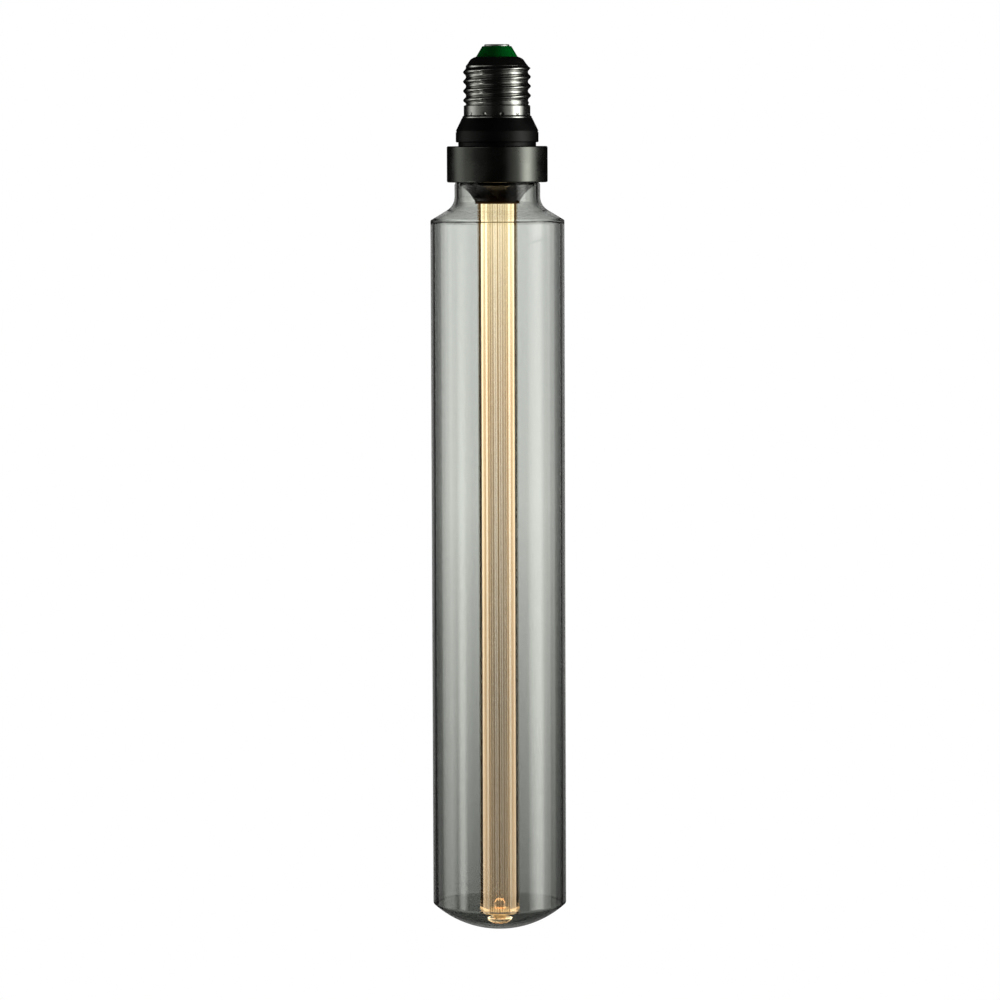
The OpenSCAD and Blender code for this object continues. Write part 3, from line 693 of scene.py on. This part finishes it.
def make_paints():
    """The finishes that the photo shows, by material slot."""
    paints = {
        "contact_metal": grained("contact_metal", (0.7, 0.7, 0.69), 0.45, 1.0, grain=2500),
        "shell_black_nickel": black_nickel(),
        "housing_black": housing_black(),
        "collar_anodised": collar_anodised(),
        "holder_black": lit_holder(),
        "insulator_green": insulator_green(),
        "guide_resin": clear_resin(),
    }
    return {slot: paint.material for slot, paint in paints.items()}


def finish_nodes(paints):
    """Gives each CAD node the finish of its material slot. Slots that only hidden pieces use get the
    record's own colour."""
    colors = {m["slot"]: m for m in frame["record"]["materials"]}
    for part in frame["record"]["subparts"]:
        slot = part["material_slot"]
        if slot not in paints:
            color = colors[slot]["base_color"][:3]
            metallic = 1.0 if slot in METALS else 0.0
            paints[slot] = grained(slot, color, INNER_ROUGHNESS, metallic).material
        mesh = nodes[part["node"]].data
        mesh.materials.clear()
        mesh.materials.append(paints[slot])


# Studio
# The panels stand around the camera's line of sight and go with the camera, like a turntable's.
WORLD_GREY = 0.003
BACKDROP_AWAY = 3.0
BACKDROP_HALF = 0.8
BACKLIGHT_HALF = (1.7, 2.6)
BACKLIGHT_TINT = (1, 1, 0.985)
# Brightness by how far left of the lamp's axis the camera sees a point, in metres on the panel.
BACKLIGHT = [(-1.5, 0.08), (-1.0, 0.24), (-0.58, 0.36), (-0.43, 0.55), (-0.27, 0.85), (-0.24, 1),
             (0.15, 1), (0.24, 0.8), (0.38, 0.68), (0.58, 0.38), (1.03, 0.2)]
SIDE_AWAY = 0.8
SIDE_TINT = (0.985, 1, 0.94)
FLOOR_Z = -1.3
FLOOR_HALF = 4.0
FLOOR_GLOW = 0.85
RAYS = ("camera", "diffuse", "glossy", "transmission", "volume_scatter", "shadow")

# The side lights reach from PANEL_LOW up to PANEL_TOP, or end at one of the levels between. The cap has
# lights of its own, which rays through the glass don't see.
PANEL_LOW = -0.62
PANEL_TOP = 0.3
REAR_FILL_TOP = -0.3
STRIP_TOP = -0.075
RIGHT_CAP_LOW = -0.0625
LEFT_CAP_LOW = -0.04
RIGHT_ACROSS = [(0, 0.1), (0.3, 0.4), (0.45, 1), (0.62, 1), (1, 0)]
EVEN = [(PANEL_LOW, 1), (PANEL_TOP, 1)]
ALL = ("glossy", "diffuse", "transmission")
OPAQUE = ("glossy", "diffuse")
SHINE = ("glossy",)
# Each row: name, turn and half width in degrees (see side_light), lowest and highest level, brightness by
# share of the way across, brightness by level, and the kinds of ray that see the light.
SIDE_LIGHTS = [
    ("left_strip", -66, 10, (PANEL_LOW, STRIP_TOP), [(0, 0), (0.35, 1), (0.65, 1), (1, 0)],
     [(-0.45, 3.1), (-0.35, 2.3), (-0.24, 1.05), (-0.125, 0.4), (-0.076, 0.1)], ALL),
    ("left_softbox", -95, 19, (PANEL_LOW, LEFT_CAP_LOW), [(0, 0), (0.3, 1), (0.7, 1), (1, 0)],
     [(-0.45, 1.5), (-0.35, 1.3), (-0.24, 0.8), (-0.125, 0.5), (-0.05, 0.45)], ALL),
    ("left_cap_softbox", -86, 34, (LEFT_CAP_LOW, PANEL_TOP),
     [(0, 0.12), (0.19, 0.25), (0.34, 0.42), (0.5, 0.8), (0.7, 1.2), (0.85, 0.6), (1, 0.1)],
     [(LEFT_CAP_LOW, 0), (-0.028, 1)], OPAQUE),
    ("left_fill", -38, 20, (PANEL_LOW, PANEL_TOP), [(0, 0.1), (0.5, 0.45), (1, 1)],
     [(0, 0.06), (PANEL_TOP, 1)], SHINE),
    ("right_fill", 35, 15, (PANEL_LOW, PANEL_TOP), [(0, 0.35), (0.5, 0.22), (1, 0.02)], EVEN, SHINE),
    ("right_softbox", 75, 25, (PANEL_LOW, RIGHT_CAP_LOW), RIGHT_ACROSS,
     [(-0.45, 5.0), (-0.35, 4.4), (-0.24, 3.0), (-0.125, 2.1)], ALL),
    ("right_cap_softbox", 75, 25, (RIGHT_CAP_LOW, PANEL_TOP), RIGHT_ACROSS,
     [(RIGHT_CAP_LOW, 3.1), (-0.055, 4.5)], OPAQUE),
    ("left_rear_fill", -122, 9, (PANEL_LOW, REAR_FILL_TOP), [(0, 0.6), (1, 1)],
     [(-0.46, 0.45), (-0.41, 0.35), (-0.33, 0)], SHINE),
    ("right_rear_fill", 122, 9, (PANEL_LOW, REAR_FILL_TOP), [(0, 1), (1, 0.6)],
     [(-0.46, 0.22), (-0.33, 0)], SHINE),
    ("left_rear_strip", -108, 10, (PANEL_LOW, PANEL_TOP), [(0, 1.1), (1, 1.1)], EVEN, ("transmission",)),
    ("right_rear_strip", 108, 10, (PANEL_LOW, PANEL_TOP), [(0, 1.1), (1, 1.1)], EVEN, ("transmission",)),
]


def panel(name, half_width, half_height, material, seen_by):
    """A flat stage panel about its own origin, facing +Z, that only some kinds of ray see."""
    mesh = bpy.data.meshes.new(name)
    corners = [(-half_width, -half_height, 0), (half_width, -half_height, 0),
               (half_width, half_height, 0), (-half_width, half_height, 0)]
    mesh.from_pydata(corners, [], [(0, 1, 2, 3)])
    made = add_object(name, mesh, [material])
    for ray in RAYS:
        setattr(made, "visible_" + ray, ray in seen_by)
    return made


def glow(name, half_width, across, half_height=1.0, up=((0, 1), (1, 1)), tint=(1, 1, 1)):
    """A light that changes across a panel and up it, from stops of (share of the way, brightness)."""
    paint = Paint(name)
    tree = paint.tree
    shine = paint.node("ShaderNodeEmission")
    shine.inputs["Color"].default_value = (*tint, 1)
    tree.nodes.remove(paint.shader)
    paint.link(shine.outputs["Emission"], tree.nodes["Material Output"].inputs["Surface"])
    share_across = paint.remap(paint.along("X"), -half_width, half_width)
    share_up = paint.remap(paint.along("Y"), -half_height, half_height)
    strength = paint.times(paint.strengths(share_across, across), paint.strengths(share_up, up))
    paint.link(strength, shine.inputs["Strength"])
    return paint.material


def set_up(made, place, target, camera):
    """Stands a panel at a place, turned to a target, and fixes it to the camera."""
    turn = (Vector(target) - Vector(place)).to_track_quat("Z", "Y").to_matrix().to_4x4()
    made.matrix_world = Matrix.Translation(place) @ turn
    bpy.context.view_layer.update()
    world = made.matrix_world.copy()
    made.parent = camera
    made.matrix_parent_inverse = camera.matrix_world.inverted()
    made.matrix_world = world


def side_light(camera, name, turn, half_turn, levels, across, up, seen_by):
    """A softbox beside the lamp, at a turn in degrees from the camera, right being positive.
    Share 0 of the way across is the camera's side of a left light and the far side of a right one."""
    half_width = SIDE_AWAY * math.tan(math.radians(half_turn))
    bottom, top = levels
    half_height, level = (top - bottom) / 2, (top + bottom) / 2
    stops = [((z - bottom) / (top - bottom), value) for z, value in up]
    light = glow(name, half_width, across, half_height, stops, SIDE_TINT)
    box = panel(name, half_width, half_height, light, seen_by)
    angle = math.radians(turn)
    place = Vector((math.sin(angle) * SIDE_AWAY, -math.cos(angle) * SIDE_AWAY, level))
    set_up(box, place, (0, 0, level), camera)


def make_world():
    world = bpy.data.worlds.new("studio")
    world.use_nodes = True
    grey = (WORLD_GREY, WORLD_GREY, WORLD_GREY, 1)
    world.node_tree.nodes["Background"].inputs["Color"].default_value = grey
    bpy.context.scene.world = world


def make_background(camera):
    """The white backdrop that the camera sees, and the backlight that shows through the glass."""
    middle = Vector((0, 0, AIM_LEVEL))
    ahead = (middle - camera.location).normalized()
    behind = middle + ahead * BACKDROP_AWAY
    white = glow("white_backdrop", BACKDROP_HALF, [(0, 1), (1, 1)])
    backdrop = panel("backdrop", BACKDROP_HALF, BACKDROP_HALF, white, ("camera",))
    set_up(backdrop, behind, camera.location, camera)
    wide = BACKLIGHT_HALF[0]
    stops = [(0.5 + x / wide / 2, value) for x, value in BACKLIGHT]
    light = glow("backlight", wide, stops, tint=BACKLIGHT_TINT)
    backlight = panel("backlight", *BACKLIGHT_HALF, light, ("transmission",))
    set_up(backlight, behind, camera.location, camera)


def make_floor():
    """A pale floor far below the lamp, for views from above."""
    pale = Paint("pale_floor", (0.85, 0.85, 0.84), 0.7)
    pale.set("Emission Color", (1, 1, 1, 1))
    pale.set("Emission Strength", FLOOR_GLOW)
    floor = panel("floor", FLOOR_HALF, FLOOR_HALF, pale.material, ("camera",))
    floor.location.z = FLOOR_Z


def make_studio(camera):
    make_world()
    make_background(camera)
    for light in SIDE_LIGHTS:
        side_light(camera, *light)
    make_floor()


scene = bpy.context.scene
scene.view_settings.view_transform = "Standard"
scene.cycles.max_bounces = 32
scene.cycles.transmission_bounces = 32
scene.cycles.glossy_bounces = 12
scene.cycles.caustics_reflective = False
scene.cycles.caustics_refractive = False

camera = make_camera()
make_studio(camera)
paints = make_paints()
finish_nodes(paints)
make_envelope()
make_guide()
make_plug()
make_shell(paints["shell_black_nickel"])
